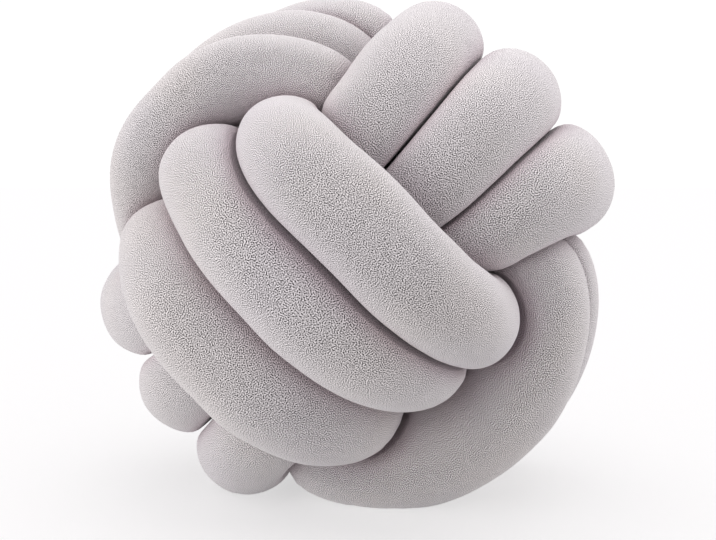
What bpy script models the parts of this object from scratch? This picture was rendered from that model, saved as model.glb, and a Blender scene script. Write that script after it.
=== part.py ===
"""Knot cushion: one long stuffed plush tube, wound into a ball-shaped knot.

The tube goes round the ball in three rings of three turns. Each ring lies over
the next one and under the last, so the rings hold each other, and the two ends
of the tube are sewn together out of sight in the core. The whole cushion is one
closed tube: soft, about 55 mm thick, flattened wherever its passes press on
each other, and flattened a little where the ball rests on the floor.

Metres, +Z up. The ball rests on Z = 0, with its front towards -Y.
"""
from collections import namedtuple

import bpy
import numpy as np
from mathutils import Euler
from mathutils.bvhtree import BVHTree

MM = 0.001

# ---------------------------------------------------------------- the tube, mm
TUBE_RADIUS = 27.8          # at the crown of a pass, before anything presses on it
SHOULDER_RADIUS = 25.1
CORE_RADIUS = 30.0          # where it runs inside the ball

# ------------------------------------------- one pass over the ball, middle turn
# "Out" is away from the ball's centre, "along" is the way that the pass runs.
CROWN_OUT = 115.0
FLANK_OUT, FLANK_ALONG = 107.5, 34.5
SHOULDER_OUT, SHOULDER_ALONG = 73.0, 66.5
NECK_OUT, NECK_ALONG = 25.0, 48.0     # here it goes in under the next ring
WAIST_OUT = 53.0                      # here it turns round the core

# The outer turns of a ring lie lower on the ball than the middle one.
OUTER_CROWN = 0.968
OUTER_SHOULDER = 0.845
OUTER_REACH = 0.922

# Distance from one turn of a ring to the next, at each height.
CROWN_PITCH = 50.5
SHOULDER_PITCH = 40.0
NECK_PITCH = 36.0
WAIST_PITCH = 33.0
FLANK_BLEND = 0.7           # share of the crown's place in the flank's place
SLIDE_BLEND = 0.6           # share of the crown's slide in the flank's slide
NECK_DRIFT = 0.35           # share of a turn's shift that the neck already has

# Where the tube leaves one ring for the next, in that ring's axes.
HAND_OVER = (-18.0, -8.0, 36.0)

# Each ring's axes: out, along and the stack of its turns, as columns of X, Y, Z.
RINGS = {"A": (0, 1, 2), "B": (1, 2, 0), "C": (2, 0, 1)}

# One row for each pass, with what sets it apart from an even winding, in mm.
#   ring, side, turn     which ring, which face of the ball, which of three turns
#   slide                sideways shift of the crown
#   slide_in, slide_out  sideways shift of the first and the last shoulder
#   lift, _in, _out      extra height of the crown, of the first and the last shoulder
#   reach_in, reach_out  extra length to the first and the last shoulder
#   fuller               extra radius
Pass = namedtuple("Pass", "ring side turn slide slide_in slide_out lift lift_in lift_out "
                          "reach_in reach_out fuller")
PASSES = [
    Pass("A", 1, -1, 2, -6, 1, -8, -8, -7, 6, 1, 1),
    Pass("A", -1, -1, 3, 2, -3, -2, 0, 0, 2, -2, 1),
    Pass("A", 1, 0, 4, -2, 9, 0, -7, -3, 8, -3, 1),
    Pass("A", -1, 0, -2, 3, 2, 2, 0, 0, -1, 3, 0),
    Pass("A", 1, 1, -2, -4, 2, 12, 10, 6, -4, 6, -3),
    Pass("A", -1, 1, 3, -2, 2, -1, 0, 0, 3, -2, -1),
    Pass("B", 1, -1, 2, 6, 1, 5, 4, 0, 2, 3, 1),
    Pass("B", -1, -1, -12, 11, 11, 4, 9, -2, 15, 1, 0),
    Pass("B", 1, 0, -5, 2, 9, 4, 12, 0, 2, 7, 1),
    Pass("B", -1, 0, -2, -4, -1, -3, -1, -5, -2, -5, 0),
    Pass("B", 1, 1, -17, 0, -6, 2, 1, 2, 13, 10, 2),
    Pass("B", -1, 1, 8, 5, -1, -5, -6, -7, -2, 1, -6),
    Pass("C", 1, -1, 6, -5, 6, -4, 1, -2, -5, 10, -1),
    Pass("C", -1, -1, -8, 0, -1, -7, 4, 3, 2, -7, -2),
    Pass("C", 1, 0, 2, 2, 4, 4, -3, -4, -8, 3, 0),
    Pass("C", -1, 0, -4, -8, -5, 1, 3, -2, -2, 2, 1),
    Pass("C", 1, 1, 0, 4, -6, -3, -6, -3, 0, -3, 2),
    Pass("C", -1, 1, -10, -3, 7, 5, 0, 6, 4, -10, 1),
]

# ------------------------------------------------------------ how it is flattened
CONTACT_GAP = 1.2           # between two passes that press on each other, mm
LEAST_GAP = 0.6             # kept everywhere between facets, mm
EASE_STEP = 0.3             # how much a facet that comes closer is drawn in, mm
EASE_ROUNDS = 60
PRESS_SHARPNESS = 14        # higher makes flatter contacts with tighter corners
OWN_REACH = 90.0            # nearer than this along the tube, a bend and not a contact, mm
SELF_REACH = 1.8            # nearer than this, the same place, mm
BEND_SHARE = 0.93           # how far a bend may fill its own inner side
LIMIT_SHARE = 0.985         # of its room, the most that any ray takes
FAR = 1.0                   # more room than any ray needs, m

# --------------------------------------------------------------- how it is meshed
RINGS_IN_ALL = 436
SIDES = 12
BEND_DENSITY = 0.8          # more rings where the tube bends
DENSE = 6000                # samples of the route from which the rings are spaced
GUIDE = 1600                # samples of the centre line that the rays are measured against

# ---------------------------------------------------------------- how it rests
REST_TURN = (-46.8, 6.5, -102.7)  # degrees about X, Y, Z
SEAT_DEPTH = 4.5            # how far its own weight presses it flat, mm
SAG = 2.2                   # cover that is nearer to the floor than this lies on it, mm

PLUSH_GREY = (0.60, 0.59, 0.60, 1.0)


def pass_route(row):
    """Points (out, along, stack) and radii of one pass, from neck to neck."""
    outer = row.turn != 0
    crown = CROWN_OUT * (OUTER_CROWN if outer else 1)
    flank = FLANK_OUT * (OUTER_CROWN if outer else 1)
    shoulder = SHOULDER_OUT * (OUTER_SHOULDER if outer else 1)
    reach = SHOULDER_ALONG * (OUTER_REACH if outer else 1)
    shift_in = -0.5 if row.side > 0 and row.turn > -1 else 0
    shift_out = 0.5 if row.side < 0 and row.turn < 1 else 0
    at_crown = row.turn * CROWN_PITCH
    at_shoulder = row.turn * SHOULDER_PITCH
    at_neck = row.turn * NECK_PITCH
    at_flank = FLANK_BLEND * at_crown + (1 - FLANK_BLEND) * at_shoulder
    drift = NECK_DRIFT * WAIST_PITCH
    full = TUBE_RADIUS + row.fuller
    half = SHOULDER_RADIUS + row.fuller / 2
    return [
        (NECK_OUT, -NECK_ALONG, at_neck + drift * shift_in, CORE_RADIUS),
        (shoulder + row.lift_in, -reach - row.reach_in, at_shoulder + row.slide_in, half),
        (flank + row.lift, -FLANK_ALONG, at_flank + SLIDE_BLEND * row.slide
         + (1 - SLIDE_BLEND) * row.slide_in, full),
        (crown + row.lift, 0, at_crown + row.slide, full),
        (flank + row.lift, FLANK_ALONG, at_flank + SLIDE_BLEND * row.slide
         + (1 - SLIDE_BLEND) * row.slide_out, full),
        (shoulder + row.lift_out, reach + row.reach_out, at_shoulder + row.slide_out, half),
        (NECK_OUT, NECK_ALONG, at_neck + drift * shift_out, CORE_RADIUS),
    ]


def knot_route():
    """Every point that the tube's centre line goes through, and its radius there, in metres."""
    points, radii = [], []
    for row in PASSES:
        axes = RINGS[row.ring]
        route = [(row.side * out, row.side * along, stack, radius)
                 for out, along, stack, radius in pass_route(row)]
        if row.side > 0:
            route.append((0, WAIST_OUT, row.turn * WAIST_PITCH, CORE_RADIUS))
        elif row.turn < 1:
            route.append((0, -WAIST_OUT, (row.turn + 0.5) * WAIST_PITCH, CORE_RADIUS))
        for *place, radius in route:
            point = np.zeros(3)
            point[list(axes)] = place
            points.append(point)
            radii.append(radius)
        if row.side < 0 and row.turn == 1:
            points.append(np.roll(HAND_OVER, axes[0]))
            radii.append(CORE_RADIUS)
    return np.array(points) * MM, np.array(radii) * MM


def closed_spline(points, radii):
    """A smooth closed curve through the points, and the radius along it."""
    count = len(points)
    after = np.roll(points, -1, axis=0)
    span = np.linalg.norm(after - points, axis=1) ** 0.75
    before_span = np.roll(span, 1)
    slope = (after - points) / span[:, None]
    system = np.zeros((count, count))
    i = np.arange(count)
    system[i, i] = 2 * (span + before_span)
    system[i, (i + 1) % count] += span
    system[i, i - 1] += before_span
    bend = np.linalg.solve(system, 6 * (slope - np.roll(slope, 1, axis=0)))
    knots = np.concatenate([[0], np.cumsum(span)])
    t = np.linspace(0, knots[-1], DENSE, endpoint=False)
    k = np.searchsorted(knots, t, side="right") - 1
    n = (k + 1) % count
    left = (knots[k + 1] - t)[:, None]
    right = (t - knots[k])[:, None]
    h = span[k][:, None]
    curve = (bend[k] * left ** 3 + bend[n] * right ** 3) / (6 * h)
    curve += (points[k] / h - bend[k] * h / 6) * left + (points[n] / h - bend[n] * h / 6) * right
    share = right[:, 0] / span[k]
    share = share * share * (3 - 2 * share)
    return curve, radii[k] * (1 - share) + radii[n] * share


def spaced(curve, radii, count, bend_density):
    """The curve again with count points, closer together where it bends."""
    step = np.linalg.norm(np.roll(curve, -1, axis=0) - curve, axis=1)
    tangent = np.roll(curve, -1, axis=0) - np.roll(curve, 1, axis=0)
    tangent /= np.linalg.norm(tangent, axis=1)[:, None]
    turn = np.linalg.norm(np.roll(tangent, -1, axis=0) - tangent, axis=1)
    wanted = step / (2 * TUBE_RADIUS * MM) + bend_density * turn
    run = np.concatenate([[0], np.cumsum(wanted)])
    at = np.interp(np.arange(count) * run[-1] / count, run, np.arange(len(run)))
    k = at.astype(int)
    share = at - k
    points = curve[k] * (1 - share)[:, None] + np.roll(curve, -1, axis=0)[k] * share[:, None]
    radius = radii[k] * (1 - share) + np.roll(radii, -1)[k] * share
    length = np.interp(at, np.arange(len(run)), np.concatenate([[0], np.cumsum(step)]))
    return points, radius, length, step.sum()


def ring_frames(centres):
    """Two cross directions for each ring that turn as little as possible along the tube."""
    tangent = np.roll(centres, -1, axis=0) - np.roll(centres, 1, axis=0)
    tangent /= np.linalg.norm(tangent, axis=1)[:, None]
    count = len(centres)
    first = np.zeros_like(centres)
    first[0] = np.cross(tangent[0], (0, 0, 1))
    first[0] /= np.linalg.norm(first[0])

    def carried(direction, here, there):
        across = np.cross(here, there)
        cosine = here @ there
        along_axis = across * (across @ direction) / (1 + cosine)
        return direction * cosine + np.cross(across, direction) + along_axis

    for i in range(1, count):
        first[i] = carried(first[i - 1], tangent[i - 1], tangent[i])
    last = carried(first[-1], tangent[-1], tangent[0])
    twist = np.arctan2(last @ np.cross(tangent[0], first[0]), last @ first[0])
    angle = -twist * np.arange(count) / count
    second = np.cross(tangent, first)
    first = first * np.cos(angle)[:, None] + second * np.sin(angle)[:, None]
    return first, np.cross(tangent, first)


def free_radius(centre, length, total, rays, guide, guide_length):
    """How far each ray of one ring can reach before it meets another pass or its own bend.

    A point on a ray may be as far from its own centre line as from any other
    pass, less the gap: two soft tubes of one firmness meet half way.
    """
    gap = CONTACT_GAP * MM
    to_guide = guide - centre
    apart = np.abs(guide_length - length)
    apart = np.minimum(apart, total - apart)
    square = (to_guide ** 2).sum(axis=1)[None, :]
    facing = rays @ to_guide.T
    ahead = facing > 0
    other = ahead & (apart > OWN_REACH * MM)[None, :]
    own = ahead & ((apart <= OWN_REACH * MM) & (apart > SELF_REACH * MM))[None, :]
    facing = np.where(ahead, facing, 1)
    contact = np.where(other, (square - gap ** 2) / (2 * (facing + gap)), FAR).min(axis=1)
    bend = np.where(own, square / (2 * facing), FAR).min(axis=1)
    return np.minimum(contact, BEND_SHARE * bend)


def tube_rings():
    """Ring centres, the directions of their points and the pressed radius of each point."""
    curve, radii = closed_spline(*knot_route())
    centres, radius, length, total = spaced(curve, radii, RINGS_IN_ALL, BEND_DENSITY)
    guide, _, guide_length, _ = spaced(curve, radii, GUIDE, 0)
    first, second = ring_frames(centres)
    angle = np.arange(SIDES) * 2 * np.pi / SIDES
    angle = angle[None, :, None]
    rays = first[:, None] * np.cos(angle) + second[:, None] * np.sin(angle)
    limit = np.array([free_radius(centres[i], length[i], total, rays[i], guide, guide_length)
                      for i in range(RINGS_IN_ALL)])
    power = -PRESS_SHARPNESS
    pressed = (radius[:, None] ** power + limit ** power) ** (1 / power)
    along = (np.roll(pressed, 1, axis=0) + np.roll(pressed, -1, axis=0)) / 2
    round_it = (np.roll(pressed, 1, axis=1) + np.roll(pressed, -1, axis=1)) / 2
    pressed = np.minimum(pressed / 2 + (along + round_it) / 4, limit * LIMIT_SHARE)
    return centres, rays, pressed


def tube_faces():
    """Triangles between each ring and the next, right round the closed tube."""
    faces = []
    for i in range(RINGS_IN_ALL):
        j = (i + 1) % RINGS_IN_ALL
        for k in range(SIDES):
            m = (k + 1) % SIDES
            a, b = i * SIDES + k, i * SIDES + m
            c, d = j * SIDES + m, j * SIDES + k
            faces += [(a, b, c), (a, c, d)]
    return np.array(faces)


def eased(centres, rays, pressed, faces):
    """Draws in the facets that come nearer to each other than the least gap."""
    for _ in range(EASE_ROUNDS):
        outer = (centres[:, None] + rays * (pressed + LEAST_GAP * MM / 2)[..., None]).reshape(-1, 3)
        tree = BVHTree.FromPolygons(outer.tolist(), faces.tolist(), epsilon=0.0)
        pairs = np.array(tree.overlap(tree), dtype=int).reshape(-1, 2)
        one, two = faces[pairs[:, 0]], faces[pairs[:, 1]]
        joined = (one[:, :, None] == two[:, None, :]).any(axis=(1, 2))
        close = np.unique(one[~joined])
        if not len(close):
            break
        pressed.reshape(-1)[close] -= EASE_STEP * MM
    return (centres[:, None] + rays * pressed[..., None]).reshape(-1, 3)


def seated(points):
    """Turns the ball to its rest and flattens it where it presses on the floor."""
    turn = np.array(Euler(np.radians(REST_TURN)).to_matrix())
    points = points @ turn.T
    low, high = points.min(axis=0), points.max(axis=0)
    points -= ((low[0] + high[0]) / 2, (low[1] + high[1]) / 2, low[2] + SEAT_DEPTH * MM)
    points[points[:, 2] < SAG * MM, 2] = 0
    return points


def plush():
    """Light grey short-pile plush."""
    material = bpy.data.materials.new("plush_grey")
    material.use_nodes = True
    shader = material.node_tree.nodes["Principled BSDF"]
    shader.inputs["Base Color"].default_value = PLUSH_GREY
    shader.inputs["Roughness"].default_value = 0.95
    shader.inputs["Metallic"].default_value = 0.0
    shader.inputs["Sheen Weight"].default_value = 0.4
    return material


def build_knot():
    """The whole cushion: one closed tube."""
    centres, rays, pressed = tube_rings()
    faces = tube_faces()
    points = seated(eased(centres, rays, pressed, faces))
    mesh = bpy.data.meshes.new("knot_tube")
    mesh.from_pydata(points.tolist(), [], faces.tolist())
    mesh.materials.append(plush())
    mesh.shade_smooth()
    knot = bpy.data.objects.new("knot_tube", mesh)
    bpy.context.scene.collection.objects.link(knot)
    return knot


def main():
    for thing in list(bpy.data.objects):
        bpy.data.objects.remove(thing, do_unlink=True)
    build_knot()


main()
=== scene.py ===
import bpy
import numpy as np
from mathutils import Euler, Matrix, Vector


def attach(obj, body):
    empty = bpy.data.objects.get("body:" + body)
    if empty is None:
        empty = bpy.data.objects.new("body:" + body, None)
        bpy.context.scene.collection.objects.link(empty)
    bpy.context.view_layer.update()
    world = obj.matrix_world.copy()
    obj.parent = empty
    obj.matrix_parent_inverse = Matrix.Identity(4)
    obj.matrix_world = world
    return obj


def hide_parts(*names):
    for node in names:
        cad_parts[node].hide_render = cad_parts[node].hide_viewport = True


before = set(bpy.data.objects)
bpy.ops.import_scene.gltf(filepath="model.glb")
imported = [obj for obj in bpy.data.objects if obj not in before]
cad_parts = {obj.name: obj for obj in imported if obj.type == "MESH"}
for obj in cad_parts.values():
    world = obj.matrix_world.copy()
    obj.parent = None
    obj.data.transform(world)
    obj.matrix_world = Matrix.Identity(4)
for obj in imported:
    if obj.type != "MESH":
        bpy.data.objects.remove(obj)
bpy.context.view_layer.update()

mm = 0.001

# The knot: a tube wound in three rings of three turns. "Out" is away from the middle of the
# ball, "along" is the way that a pass runs, "stack" is from one turn of a ring to the next.
knot = {
    "tubeRadius": 27.8 * mm,
    "shoulderRadius": 25.1 * mm,
    "coreRadius": 30.0 * mm,
    "crownOut": 115.0 * mm,
    "flankOut": 107.5 * mm, "flankAlong": 34.5 * mm,
    "shoulderOut": 73.0 * mm, "shoulderAlong": 66.5 * mm,
    "neckOut": 25.0 * mm, "neckAlong": 48.0 * mm,
    "waistOut": 53.0 * mm,
    "outerCrown": 0.968,        # the outer turns lie lower than the middle one
    "outerShoulder": 0.845,
    "outerReach": 0.922,
    "crownPitch": 50.5 * mm,    # from one turn to the next, at each height
    "shoulderPitch": 40.0 * mm,
    "neckPitch": 36.0 * mm,
    "waistPitch": 33.0 * mm,
    "flankBlend": 0.7,          # how much a flank's pitch is the crown's, and not the shoulder's
    "slideBlend": 0.6,          # the same for its slide
    "neckDrift": 0.35,          # share of the waist's pitch that two turns' necks lean together
    "spanPower": 0.75,          # of the distance between two points, for the spline's spans
    "handOver": (-18.0 * mm, -8.0 * mm, 36.0 * mm),    # from one ring to the next, in the core
    "turn": (-46.8, 6.5, -102.7),                      # how the ball lies, degrees
    "centre": (-1.1 * mm, 4.7 * mm, 133.6 * mm),       # middle of the knot, above the floor
}

ringAxes = {"A": (0, 1, 2), "B": (1, 2, 0), "C": (2, 0, 1)}    # out, along, stack

# One row for each pass, in mm: ring, side, turn, then what sets it apart from an even winding:
# slide of the crown and of its first and last shoulder, lift of the same three, reach of the
# first and last shoulder, and extra radius. The knot's sizes and the rows of the passes that show
# come from a fitting program, rounded, with a few changed. The rows of A on side -1, and
# of B on side 1 at turn -1, are made up.
passes = [
    ("A", 1, -1, 2, -6, 1, -8, -8, -7, 6, 1, 1),
    ("A", -1, -1, 3, 2, -3, -2, 0, 0, 2, -2, 1),
    ("A", 1, 0, 4, -2, 9, 0, -7, -3, 8, -3, 1),
    ("A", -1, 0, -2, 3, 2, 2, 0, 0, -1, 3, 0),
    ("A", 1, 1, -2, -4, 2, 12, 10, 6, -4, 6, -3),
    ("A", -1, 1, 3, -2, 2, -1, 0, 0, 3, -2, -1),
    ("B", 1, -1, 2, 6, 1, 5, 4, 0, 2, 3, 1),
    ("B", -1, -1, -12, 11, 11, 4, 9, -2, 15, 1, 0),
    ("B", 1, 0, -5, 2, 9, 4, 12, 0, 2, 7, 1),
    ("B", -1, 0, -2, -4, -1, -3, -1, -5, -2, -5, 0),
    ("B", 1, 1, -17, 0, -6, 2, 1, 2, 13, 10, 2),
    ("B", -1, 1, 8, 5, -1, -5, -6, -7, -2, 1, -6),
    ("C", 1, -1, 6, -5, 6, -4, 1, -2, -5, 10, -1),
    ("C", -1, -1, -8, 0, -1, -7, 4, 3, 2, -7, -2),
    ("C", 1, 0, 2, 2, 4, 4, -3, -4, -8, 3, 0),
    ("C", -1, 0, -4, -8, -5, 1, 3, -2, -2, 2, 1),
    ("C", 1, 1, 0, 4, -6, -3, -6, -3, 0, -3, 2),
    ("C", -1, 1, -10, -3, 7, 5, 0, 6, 4, -10, 1),
]


# One pass: from the neck where it comes out, over shoulder, flank and crown, and down again.
# Each point is (out, along, stack, radius), the even winding's place plus the pass's own shift.
# On the stack a flank lies between crown and shoulder, by the share that the blends give.
def passRoute(row):
    side, turn = row[1:3]
    (slide, slideIn, slideOut, lift, liftIn, liftOut,
     reachIn, reachOut, fuller) = [value * mm for value in row[3:]]
    isOuter = turn != 0
    crown = knot["crownOut"] * (knot["outerCrown"] if isOuter else 1) + lift
    flank = knot["flankOut"] * (knot["outerCrown"] if isOuter else 1) + lift
    shoulder = knot["shoulderOut"] * (knot["outerShoulder"] if isOuter else 1)
    reach = knot["shoulderAlong"] * (knot["outerReach"] if isOuter else 1)
    drift = knot["neckDrift"] * knot["waistPitch"]
    driftIn = -drift / 2 if side > 0 and turn > -1 else 0
    driftOut = drift / 2 if side < 0 and turn < 1 else 0
    atCrown = turn * knot["crownPitch"]
    atShoulder = turn * knot["shoulderPitch"]
    atNeck = turn * knot["neckPitch"]
    atFlank = knot["flankBlend"] * atCrown + (1 - knot["flankBlend"]) * atShoulder
    ownSlide, otherShare = knot["slideBlend"] * slide, 1 - knot["slideBlend"]
    full = knot["tubeRadius"] + fuller
    half = knot["shoulderRadius"] + fuller / 2
    core = knot["coreRadius"]
    return [
        (knot["neckOut"], -knot["neckAlong"], atNeck + driftIn, core),
        (shoulder + liftIn, -reach - reachIn, atShoulder + slideIn, half),
        (flank, -knot["flankAlong"], atFlank + ownSlide + otherShare * slideIn, full),
        (crown, 0, atCrown + slide, full),
        (flank, knot["flankAlong"], atFlank + ownSlide + otherShare * slideOut, full),
        (shoulder + liftOut, reach + reachOut, atShoulder + slideOut, half),
        (knot["neckOut"], knot["neckAlong"], atNeck + driftOut, core),
    ]


# The whole way of the tube: every pass in order, with a point at the waist between two passes
# and one in the core between two rings, and the tube's radius at each point.
def knotRoute():
    points, radii = [], []
    core, waist, waistPitch = knot["coreRadius"], knot["waistOut"], knot["waistPitch"]
    for row in passes:
        ring, side, turn = row[:3]
        axes = ringAxes[ring]
        route = [(side * out, side * along, stack, radius)
                 for out, along, stack, radius in passRoute(row)]
        if side > 0:
            route.append((0, waist, turn * waistPitch, core))
        elif turn < 1:
            route.append((0, -waist, (turn + 0.5) * waistPitch, core))
        for *place, radius in route:
            point = np.zeros(3)
            point[list(axes)] = place
            points.append(point)
            radii.append(radius)
        if side < 0 and turn == 1:
            points.append(np.roll(knot["handOver"], axes[0]))
            radii.append(core)
    return np.array(points), np.array(radii)


# Closed cubic spline: between two points, the cubic whose bend runs evenly from the one's to
# the other's; the bends come from one set of equations that makes the slopes agree everywhere.
# The radius goes from one point's to the next one's by three times the share of the span
# squared, less twice its cube.
def closedSpline(points, radii, count):
    number = len(points)
    after = np.roll(points, -1, axis=0)
    span = np.linalg.norm(after - points, axis=1) ** knot["spanPower"]
    spanBefore = np.roll(span, 1)
    slope = (after - points) / span[:, None]
    system = np.zeros((number, number))
    i = np.arange(number)
    system[i, i] = 2 * (span + spanBefore)
    system[i, (i + 1) % number] += span
    system[i, i - 1] += spanBefore
    bend = np.linalg.solve(system, 6 * (slope - np.roll(slope, 1, axis=0)))
    ends = np.concatenate([[0], np.cumsum(span)])
    at = np.linspace(0, ends[-1], count, endpoint=False)
    here = np.searchsorted(ends, at, side="right") - 1
    there = (here + 1) % number
    left, right = (ends[here + 1] - at)[:, None], (at - ends[here])[:, None]
    wide = span[here][:, None]
    curve = (bend[here] * left ** 3 + bend[there] * right ** 3) / (6 * wide)
    curve += ((points[here] / wide - bend[here] * wide / 6) * left
              + (points[there] / wide - bend[there] * wide / 6) * right)
    share = right[:, 0] / span[here]
    share = share * share * (3 - 2 * share)
    return curve, radii[here] * (1 - share) + radii[there] * share


# The curve again with count points: the step is the way run times a weight, so that there are
# more points where the weight is higher. With them, their radius and their way along the curve,
# and the whole curve's length.
def spacedAlong(curve, radii, count, weight):
    after = np.roll(curve, -1, axis=0)
    step = np.linalg.norm(after - curve, axis=1)
    run = np.concatenate([[0], np.cumsum(step * weight)])
    at = np.interp(np.arange(count) * run[-1] / count, run, np.arange(len(run)))
    here = at.astype(int)
    share = at - here
    points = curve[here] * (1 - share)[:, None] + after[here] * share[:, None]
    radius = radii[here] * (1 - share) + np.roll(radii, -1)[here] * share
    length = np.interp(at, np.arange(len(run)), np.concatenate([[0], np.cumsum(step)]))
    return points, radius, length, step.sum()


# A direction turned by the same turn that takes one tangent to the next: the direction times the
# turn's cosine, plus the tangents' cross product crossed with it, plus that cross product times
# its dot product with the direction, over one more than the cosine.
def carried(direction, here, there):
    across = np.cross(here, there)
    cosine = here @ there
    kept = across * (across @ direction) / (1 + cosine)
    return direction * cosine + np.cross(across, direction) + kept


# Two cross directions for each ring: those of the ring before it, turned as the tangent turns and
# no more. The twist that is left over at the end is shared evenly along the whole tube.
def ringFrames(centres):
    tangent = np.roll(centres, -1, axis=0) - np.roll(centres, 1, axis=0)
    tangent /= np.linalg.norm(tangent, axis=1)[:, None]
    number = len(centres)
    first = np.zeros_like(centres)
    first[0] = np.cross(tangent[0], (0, 0, 1))
    first[0] /= np.linalg.norm(first[0])
    for i in range(1, number):
        first[i] = carried(first[i - 1], tangent[i - 1], tangent[i])
    last = carried(first[-1], tangent[-1], tangent[0])
    twist = np.arctan2(last @ np.cross(tangent[0], first[0]), last @ first[0])
    angle = -twist * np.arange(number) / number
    second = np.cross(tangent, first)
    first = first * np.cos(angle)[:, None] + second * np.sin(angle)[:, None]
    return first, np.cross(tangent, first)


tube = {
    "rings": 1500,
    "sides": 64,
    "samples": 12000,           # of the route, before the rings are spaced
    "guides": 1900,             # of the centre line, which the rays are measured against
    "hiddenWeight": 0.45,       # share of rings that a hidden stretch gets
    "hiddenFrom": 62 * mm,      # nearer the middle than this, the tube is hidden
    "hiddenFade": 20 * mm,      # from there, until it gets all its rings
    "contactGap": 0.7 * mm,
    "openRoom": 1.0,            # of a ray that meets nothing, m
    "sharpness": 22,            # of the edge between a flat contact and the round side
    "ownReach": 90 * mm,        # nearer than this along the tube, a bend and not a contact
    "selfReach": 1.8 * mm,      # nearer than this, the ring itself
    "bendShare": 0.93,          # share of the room in a bend that the tube may fill
    "easings": 3,               # rounds of smoothing
    "limitShare": 0.985,        # share of the room that it may fill after each of them
    "lump": 0.35 * mm,          # uneven stuffing
    "lumpWaves": 28,
    "lumpLong": 75 * mm,
    "lumpShort": 22 * mm,
    "seed": 7,
}


# Room of each ray of one ring: a point on it may be as far from its own centre line as from any
# other pass, less the gap: the square of the way to that pass, less the gap's, over twice the sum
# of that way along the ray and the gap. In a bend it may go no farther than its share of the way
# to where the bend's rays would meet.
def freeRadius(centre, length, total, rays, guide, guideLength):
    gap, openRoom = tube["contactGap"], tube["openRoom"]
    toGuide = guide - centre
    apart = np.abs(guideLength - length)
    apart = np.minimum(apart, total - apart)
    square = (toGuide ** 2).sum(axis=1)[None, :]
    facing = rays @ toGuide.T
    ahead = facing > 0
    other = ahead & (apart > tube["ownReach"])[None, :]
    own = ahead & ((apart <= tube["ownReach"]) & (apart > tube["selfReach"]))[None, :]
    facing = np.where(ahead, facing, 1)    # what lies behind a ray is never divided by
    contact = np.where(other, (square - gap ** 2) / (2 * (facing + gap)), openRoom).min(axis=1)
    bend = np.where(own, square / (2 * facing), openRoom).min(axis=1)
    return np.minimum(contact, tube["bendShare"] * bend)


# Uneven stuffing: a sum of plane waves in random directions, long ones stronger than short ones.
def stuffingLumps(points, random):
    total = np.zeros(points.shape[:-1])
    for _ in range(tube["lumpWaves"]):
        direction = random.normal(size=3)
        wave = tube["lumpShort"] * (tube["lumpLong"] / tube["lumpShort"]) ** random.random()
        turnRate = direction / np.linalg.norm(direction) * 2 * np.pi / wave
        total += np.sin(points @ turnRate + random.random() * 2 * np.pi) * wave / tube["lumpLong"]
    return total / np.sqrt((total ** 2).mean())


# The rings of the round tube, before it is pressed: centres along the route, closer where the
# tube shows, rays round each centre at even angles, the tube's radius, and each ray's room.
def tubeRings():
    curve, radii = closedSpline(*knotRoute(), tube["samples"])
    fromMiddle = np.linalg.norm(curve, axis=1)
    shown = np.clip((fromMiddle - tube["hiddenFrom"]) / tube["hiddenFade"], 0, 1)
    weight = tube["hiddenWeight"] + (1 - tube["hiddenWeight"]) * shown
    centres, radius, length, total = spacedAlong(curve, radii, tube["rings"], weight)
    guide, _, guideLength, _ = spacedAlong(curve, radii, tube["guides"], np.ones(len(curve)))
    first, second = ringFrames(centres)
    angle = (np.arange(tube["sides"]) * 2 * np.pi / tube["sides"])[None, :, None]
    rays = first[:, None] * np.cos(angle) + second[:, None] * np.sin(angle)
    room = np.array([freeRadius(centres[i], length[i], total, rays[i], guide, guideLength)
                     for i in range(tube["rings"])])
    print("tube wound, length", round(total, 3), "m")
    return centres, radius, rays, room


# The pressed radius is the soft least of the stuffed tube's own radius and its room: each to a
# high negative power, added up, and the sum to one over that power. Each round of smoothing takes
# half of it, a quarter of the mean of its two neighbours along the tube and a quarter of the mean
# of those round it, but no more than its share of the room.
def pressedRadius(centres, radius, rays, room):
    random = np.random.default_rng(tube["seed"])
    lumps = stuffingLumps(centres[:, None] + rays * knot["tubeRadius"], random) * tube["lump"]
    power = -tube["sharpness"]
    pressed = ((radius[:, None] + lumps) ** power + room ** power) ** (1 / power)
    for _ in range(tube["easings"]):
        along = (np.roll(pressed, 1, axis=0) + np.roll(pressed, -1, axis=0)) / 2
        roundIt = (np.roll(pressed, 1, axis=1) + np.roll(pressed, -1, axis=1)) / 2
        pressed = np.minimum(pressed / 2 + (along + roundIt) / 4, room * tube["limitShare"])
    return pressed


# A closed tube as a grid: ring by ring along it, side by side round it, each point its ring's
# centre plus its ray times the pressed radius, turned and set down as the ball lies. With it, the
# room that each point has left, and each ring's outer step: the longest way from the round
# tube's ring to the next one, which is outside a bend.
def pressedTube():
    centres, radius, rays, room = tubeRings()
    pressed = pressedRadius(centres, radius, rays, room)
    points = centres[:, None] + rays * pressed[..., None]
    outside = centres[:, None] + rays * radius[:, None, None]
    outerStep = np.linalg.norm(np.roll(outside, -1, axis=0) - outside, axis=2).max(axis=1)
    turn = np.array(Euler(np.radians(knot["turn"])).to_matrix())
    points = points @ turn.T + np.array(knot["centre"])
    points[..., 2] = np.maximum(points[..., 2], 0)    # flat where it lies on the floor
    print("tube pressed,", points[..., 0].size, "points")
    return points, room - pressed, outerStep


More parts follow.
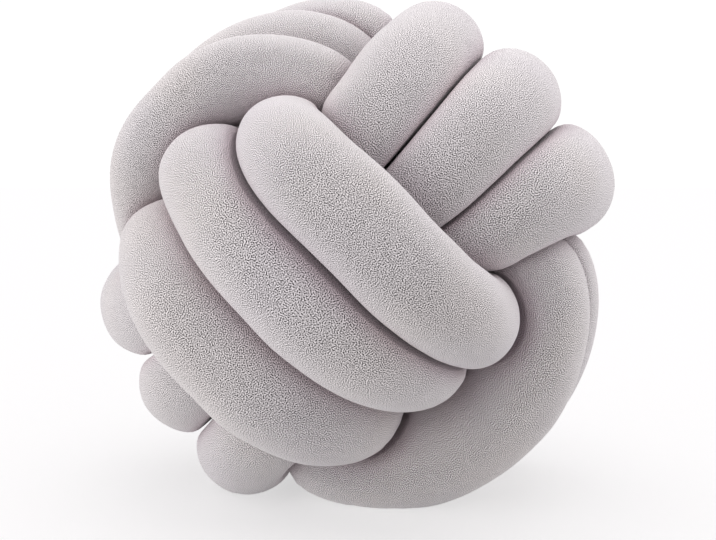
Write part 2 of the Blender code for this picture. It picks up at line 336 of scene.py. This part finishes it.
# A grid that closes both ways, made into a mesh of quads: corner (i, j), its neighbour round the
# ring, that one's neighbour along the tube, and back.
def closedGridMesh(name, points):
    rings, sides = points.shape[:2]
    index = np.arange(rings * sides).reshape(rings, sides)
    nextRing, nextSide = np.roll(index, -1, axis=0), np.roll(index, -1, axis=1)
    nextBoth = np.roll(nextRing, -1, axis=1)
    quads = np.stack([index, nextSide, nextBoth, nextRing], axis=-1).reshape(-1, 4)
    mesh = bpy.data.meshes.new(name)
    mesh.vertices.add(rings * sides)
    mesh.vertices.foreach_set("co", points.reshape(-1).astype(np.float32))
    mesh.loops.add(quads.size)
    mesh.loops.foreach_set("vertex_index", quads.reshape(-1).astype(np.int32))
    mesh.polygons.add(len(quads))
    mesh.polygons.foreach_set("loop_start", np.arange(0, quads.size, 4, dtype=np.int32))
    mesh.update(calc_edges=True)
    mesh.validate()
    mesh.shade_smooth()
    return mesh


# A new node with its settings: a socket given a value keeps it, and one given another node's
# output is linked to it.
def addNode(tree, kind, sockets=None, **settings):
    node = tree.nodes.new(kind)
    for name, value in settings.items():
        setattr(node, name, value)
    for name, value in (sockets or {}).items():
        if isinstance(value, bpy.types.NodeSocket):
            tree.links.new(value, node.inputs[name])
        else:
            node.inputs[name].default_value = value
    return node


# A value carried evenly from one range to another, and held at its ends.
def addRange(tree, value, fromEnds, toEnds):
    node = addNode(tree, "ShaderNodeMapRange", {
        "Value": value,
        "From Min": fromEnds[0], "From Max": fromEnds[1],
        "To Min": toEnds[0], "To Max": toEnds[1],
    })
    return node.outputs["Result"]


# A colour times a number.
def addScaled(tree, colour, factor):
    node = addNode(tree, "ShaderNodeVectorMath", {0: colour, "Scale": factor}, operation="SCALE")
    return node.outputs["Vector"]


# A colour read off a ramp of tones: evenly from each one's place to the next one's.
def addRamp(tree, value, tones):
    node = addNode(tree, "ShaderNodeValToRGB", {"Fac": value})
    stops = node.color_ramp.elements
    for place, _ in tones[1:-1]:
        stops.new(place)
    for stop, (place, colour) in zip(stops, tones):
        stop.position = place
        stop.color = (*colour, 1)
    return node.outputs["Color"]


plush = {
    "tint": 60 * mm,            # size of the soft areas of each tone
    "tintDetail": 1.0,
    "tintTones": [              # lilac, the plush's own grey, and warm
        (0.3, (0.511, 0.485, 0.498)),
        (0.5, (0.520, 0.496, 0.501)),
        (0.7, (0.533, 0.505, 0.501)),
    ],
    "creaseShadeReach": 6 * mm,      # free room over which the painted shade of a crease fades out
    "creaseShadeTones": [            # painted shade in the creases: how near a crease, and the share of each colour there
        (0.0, (1.0, 1.0, 1.0)),
        (0.5, (0.97, 0.93, 0.95)),
        (0.88, (0.88, 0.80, 0.83)),
        (0.93, (0.50, 0.43, 0.46)),
    ],
    "grain": 1.0 * mm,          # from one tuft to the next
    "waves": 1.5,               # tufts before their row loses itself
    "rows": 0.0,                # 0 for rows that lie every way, 1 for all one way
    "stretch": 0.9,             # below 1, grain drawn out along the tube
    "tuft": 0.7 * mm,           # size of the uneven clumps in the grain
    "tuftDetail": 1.0,
    "tuftRoughness": 0.75,
    "tuftShare": 0.3,           # of the clumps, beside the grain itself
    "grainSpread": 0.19,        # of the grain's values, either side of their middle
    "pit": 0.05,                # how dark the grain's pits are
    "tip": 1.85,                # how light its tips are
    "veilFrom": 0.15,           # how far a face is turned away where the tips start to hide the pits
    "veil": 0.35,               # share of the grain still seen on a face seen edge on
    "paintedSheenFrom": 0.12,            # how far a face is turned away where the painted sheen starts
    "paintedSheen": 1.72,                # how much lighter the painted sheen makes it, seen edge on
    "height": 0.22 * mm,        # of the bump that the grain makes
    "strength": 0.6,            # of that bump
    "roughness": 0.95,
    "gloss": 0.1,
    "sheen": 0.5,
    "sheenRoughness": 0.4,
}


# The pile's grain: fine pebbly waves on the unrolled cloth plus a share of uneven clumps, spread
# from the shade of its pits to the light of its tips.
def plushGrain(tree):
    unrolled = addNode(tree, "ShaderNodeUVMap", uv_map="unrolled")
    stretched = addNode(tree, "ShaderNodeMapping", {
        "Vector": unrolled.outputs["UV"],
        "Scale": (plush["stretch"], 1, 1),
    })
    grain = addNode(tree, "ShaderNodeTexGabor", {
        "Vector": stretched.outputs["Vector"],
        "Scale": 1 / (plush["grain"] * plush["waves"]),
        "Frequency": plush["waves"],
        "Anisotropy": plush["rows"],
    }, gabor_type="2D")
    tufts = addNode(tree, "ShaderNodeTexNoise", {
        "Vector": addNode(tree, "ShaderNodeTexCoord").outputs["Object"],
        "Scale": 1 / plush["tuft"],
        "Detail": plush["tuftDetail"],
        "Roughness": plush["tuftRoughness"],
    })
    uneven = addNode(tree, "ShaderNodeMath", {
        0: tufts.outputs["Fac"],
        1: plush["tuftShare"],
        2: grain.outputs["Value"],
    }, operation="MULTIPLY_ADD")
    middle, spread = (1 + plush["tuftShare"]) / 2, plush["grainSpread"]
    ends = (middle - spread, middle + spread)
    return addRange(tree, uneven.outputs["Value"], ends, (plush["pit"], plush["tip"]))


# The cloth's own colour, soft areas of lilac, grey and warm grey, times painted shade that
# darkens it, with a lilac tint, as a crease comes near.
def plushColourAndCreaseShade(tree):
    tint = addNode(tree, "ShaderNodeTexNoise", {
        "Vector": addNode(tree, "ShaderNodeTexCoord").outputs["Object"],
        "Scale": 1 / plush["tint"],
        "Detail": plush["tintDetail"],
    })
    # Painted shade: the colour grows darker and more lilac as a crease comes near.
    crease = addNode(tree, "ShaderNodeAttribute", attribute_name="crease")
    toned = addNode(tree, "ShaderNodeVectorMath", {
        0: addRamp(tree, tint.outputs["Fac"], plush["tintTones"]),
        1: addRamp(tree, crease.outputs["Fac"], plush["creaseShadeTones"]),
    }, operation="MULTIPLY")
    return toned.outputs["Vector"]


# Short plush: its colour and painted crease shade times the grain, which the tips hide as a face
# turns away, times a painted sheen that makes it lighter there instead. The grain also lifts the
# surface, and the shader's own sheen shows at the edges as well.
def plushMaterial():
    material = bpy.data.materials.new("plush")
    material.use_nodes = True
    tree = material.node_tree
    grain = plushGrain(tree)
    facing = addNode(tree, "ShaderNodeLayerWeight").outputs["Facing"]
    seen = addNode(tree, "ShaderNodeMix", {
        "Factor": addRange(tree, facing, (plush["veilFrom"], 1), (1, plush["veil"])),
        "A": (plush["pit"] + plush["tip"]) / 2,
        "B": grain,
    }, data_type="FLOAT")
    shade = addScaled(tree, plushColourAndCreaseShade(tree), seen.outputs["Result"])
    # Painted sheen: the colour grows lighter as a face turns away from the camera.
    paintedSheen = addRange(tree, facing, (plush["paintedSheenFrom"], 1), (1, plush["paintedSheen"]))
    bump = addNode(tree, "ShaderNodeBump", {
        "Strength": plush["strength"],
        "Distance": plush["height"],
        "Height": grain,
    })
    shader = tree.nodes["Principled BSDF"]
    tree.links.new(addScaled(tree, shade, paintedSheen), shader.inputs["Base Color"])
    tree.links.new(bump.outputs["Normal"], shader.inputs["Normal"])
    shader.inputs["Roughness"].default_value = plush["roughness"]
    shader.inputs["Specular IOR Level"].default_value = plush["gloss"]
    shader.inputs["Sheen Weight"].default_value = plush["sheen"]
    shader.inputs["Sheen Roughness"].default_value = plush["sheenRoughness"]
    return material


# The cushion: the pressed tube's mesh. Its map lays the tube's cloth out flat for the grain to
# follow: the sum of the outer steps along it, and the angle times the radius round it. Each point
# keeps how close it is to a crease, one over e to the power of its free room over the reach.
def makeCushion():
    points, room, outerStep = pressedTube()
    mesh = closedGridMesh("plushTube", points)
    length = np.concatenate([[0], np.cumsum(outerStep)])
    girth = np.linspace(0, 2 * np.pi * knot["tubeRadius"], tube["sides"] + 1)
    u, v = np.meshgrid(length[:-1], girth[:-1], indexing="ij")
    nextU, nextV = np.meshgrid(length[1:], girth[1:], indexing="ij")
    corners = np.stack([u, v, u, nextV, nextU, nextV, nextU, v], axis=-1)
    unrolled = mesh.uv_layers.new(name="unrolled")
    unrolled.uv.foreach_set("vector", corners.reshape(-1).astype(np.float32))
    # How near each point is to a crease, for the painted shade there.
    nearness = np.exp(-room / plush["creaseShadeReach"])
    attribute = mesh.attributes.new("crease", "FLOAT", "POINT")
    attribute.data.foreach_set("value", nearness.reshape(-1).astype(np.float32))
    mesh.materials.append(plushMaterial())
    cushion = bpy.data.objects.new("plushTube", mesh)
    bpy.context.scene.collection.objects.link(cushion)
    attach(cushion, "root")
    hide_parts("knot_tube")
    print("cushion made,", 2 * len(mesh.polygons), "triangles")
    return cushion


studio = {
    "floorSize": 12.0,
    "floorColour": (0.6, 0.6, 0.6),
    "floorRoughness": 1.0,
    "floorGloss": 0.0,
    "floorGlow": 0.55,          # of the floor as the camera sees it
    "floorBounce": 0.26,        # of the floor as the cushion sees it
    "ambient": 0.57,
    "ambientColour": (1.0, 0.962, 0.985),
    "backdrop": 1.05,
    "lampSize": 1.2,
    "lampColour": (1.0, 0.995, 0.994),
    "lamps": {                  # each one's place and power
        "key": ((0.9, -0.1, 0.9), 6.6),
        "fill": ((-0.9, -0.9, 0.5), 9.2),
        "top": ((0.0, 0.0, 1.3), 3.0),
    },
    "overheadStrength": 0.60,
    "overheadAngle": 60,        # degrees, wide for a soft shadow
}


# A plain pale square floor. Besides the light that falls on it, it gives off an even white glow,
# stronger to the camera than to the cushion.
def makeFloor():
    half = studio["floorSize"] / 2
    mesh = bpy.data.meshes.new("floor")
    corners = [(-half, -half, 0), (half, -half, 0), (half, half, 0), (-half, half, 0)]
    mesh.from_pydata(corners, [], [(0, 1, 2, 3)])
    material = bpy.data.materials.new("floorPale")
    material.use_nodes = True
    tree = material.node_tree
    shader = tree.nodes["Principled BSDF"]
    shader.inputs["Base Color"].default_value = (*studio["floorColour"], 1)
    shader.inputs["Roughness"].default_value = studio["floorRoughness"]
    shader.inputs["Specular IOR Level"].default_value = studio["floorGloss"]
    shader.inputs["Emission Color"].default_value = (1, 1, 1, 1)
    seen = addNode(tree, "ShaderNodeLightPath").outputs["Is Camera Ray"]
    glow = addRange(tree, seen, (0, 1), (studio["floorBounce"], studio["floorGlow"]))
    tree.links.new(glow, shader.inputs["Emission Strength"])
    mesh.materials.append(material)
    floor = bpy.data.objects.new("floor", mesh)
    bpy.context.scene.collection.objects.link(floor)
    return floor


# An even pale surround: one strength and tint for the light that it gives, and plain white for
# the camera.
def makeSurround():
    world = bpy.data.worlds.new("surround")
    world.use_nodes = True
    tree = world.node_tree
    light = tree.nodes["Background"]
    light.inputs["Color"].default_value = (*studio["ambientColour"], 1)
    light.inputs["Strength"].default_value = studio["ambient"]
    backdrop = addNode(tree, "ShaderNodeBackground", {
        "Color": (1, 1, 1, 1),
        "Strength": studio["backdrop"],
    })
    mix = addNode(tree, "ShaderNodeMixShader", {
        0: addNode(tree, "ShaderNodeLightPath").outputs["Is Camera Ray"],
        1: light.outputs["Background"],
        2: backdrop.outputs["Background"],
    })
    tree.links.new(mix.outputs["Shader"], tree.nodes["World Output"].inputs["Surface"])
    bpy.context.scene.world = world


# A collection that holds one thing alone, for the lights that fall on nothing else.
def receiversOf(name, thing):
    receivers = bpy.data.collections.new(name)
    receivers.objects.link(thing)
    return receivers


# A light in the scene that falls on its receivers alone.
def addLight(name, kind, power, receivers):
    light = bpy.data.lights.new(name, kind)
    light.energy = power
    lamp = bpy.data.objects.new(name, light)
    lamp.light_linking.receiver_collection = receivers
    bpy.context.scene.collection.objects.link(lamp)
    return lamp


# Three soft square lamps that face the middle of the knot and light the cushion alone, from the
# right, the front left and above, and a wide sun overhead that lights the floor alone.
def makeLamps(cushion, floor):
    onCushion = receiversOf("litByLamps", cushion)
    for name, (place, power) in studio["lamps"].items():
        lamp = addLight(name, "AREA", power, onCushion)
        lamp.data.size = studio["lampSize"]
        lamp.data.color = studio["lampColour"]
        lamp.location = place
        towards = Vector(knot["centre"]) - lamp.location
        lamp.rotation_euler = towards.to_track_quat("-Z", "Y").to_euler()
    onFloor = receiversOf("litFromOverhead", floor)
    sun = addLight("overhead", "SUN", studio["overheadStrength"], onFloor)
    sun.data.angle = np.radians(studio["overheadAngle"])


# The studio round the cushion: floor, surround and lamps, with colours shown as they are.
def makeStudio(cushion):
    floor = makeFloor()
    makeSurround()
    makeLamps(cushion, floor)
    bpy.context.scene.view_settings.view_transform = "Standard"
    print("studio made")


camera = {
    "elevation": 4.5,           # degrees above the floor
    "distance": 0.660,          # from the middle of the knot, m
    "frameWidth": 716, "frameHeight": 540,
    "centreX": 349.0, "centreY": 247.8,     # where the middle of the knot falls in the frame
    "scale": 101.68 / 56.6,     # pixels for each mm at the middle of the knot
    "sensor": 36.0,
    "clipStart": 0.02,          # m
}


# The camera stands in front of the knot, at its distance and elevation, and looks at the middle.
# The focal length in pixels is the scale there times the distance, and the shift moves the middle
# to its place in the frame.
def makeCamera():
    optics = bpy.data.cameras.new("camera")
    tilt = np.radians(camera["elevation"])
    focal = camera["scale"] / mm * camera["distance"]
    width, height = camera["frameWidth"], camera["frameHeight"]
    optics.sensor_width = camera["sensor"]
    optics.lens = focal * camera["sensor"] / width
    optics.shift_x = (width / 2 - camera["centreX"]) / width
    optics.shift_y = (camera["centreY"] - height / 2) / width
    optics.clip_start = camera["clipStart"]
    viewer = bpy.data.objects.new("camera", optics)
    backwards = np.array((0, -np.cos(tilt), np.sin(tilt)))
    viewer.location = np.array(knot["centre"]) + camera["distance"] * backwards
    viewer.rotation_euler = (np.pi / 2 - tilt, 0, 0)
    bpy.context.scene.collection.objects.link(viewer)
    bpy.context.scene.camera = viewer
    print("camera placed")


makeStudio(makeCushion())
makeCamera()
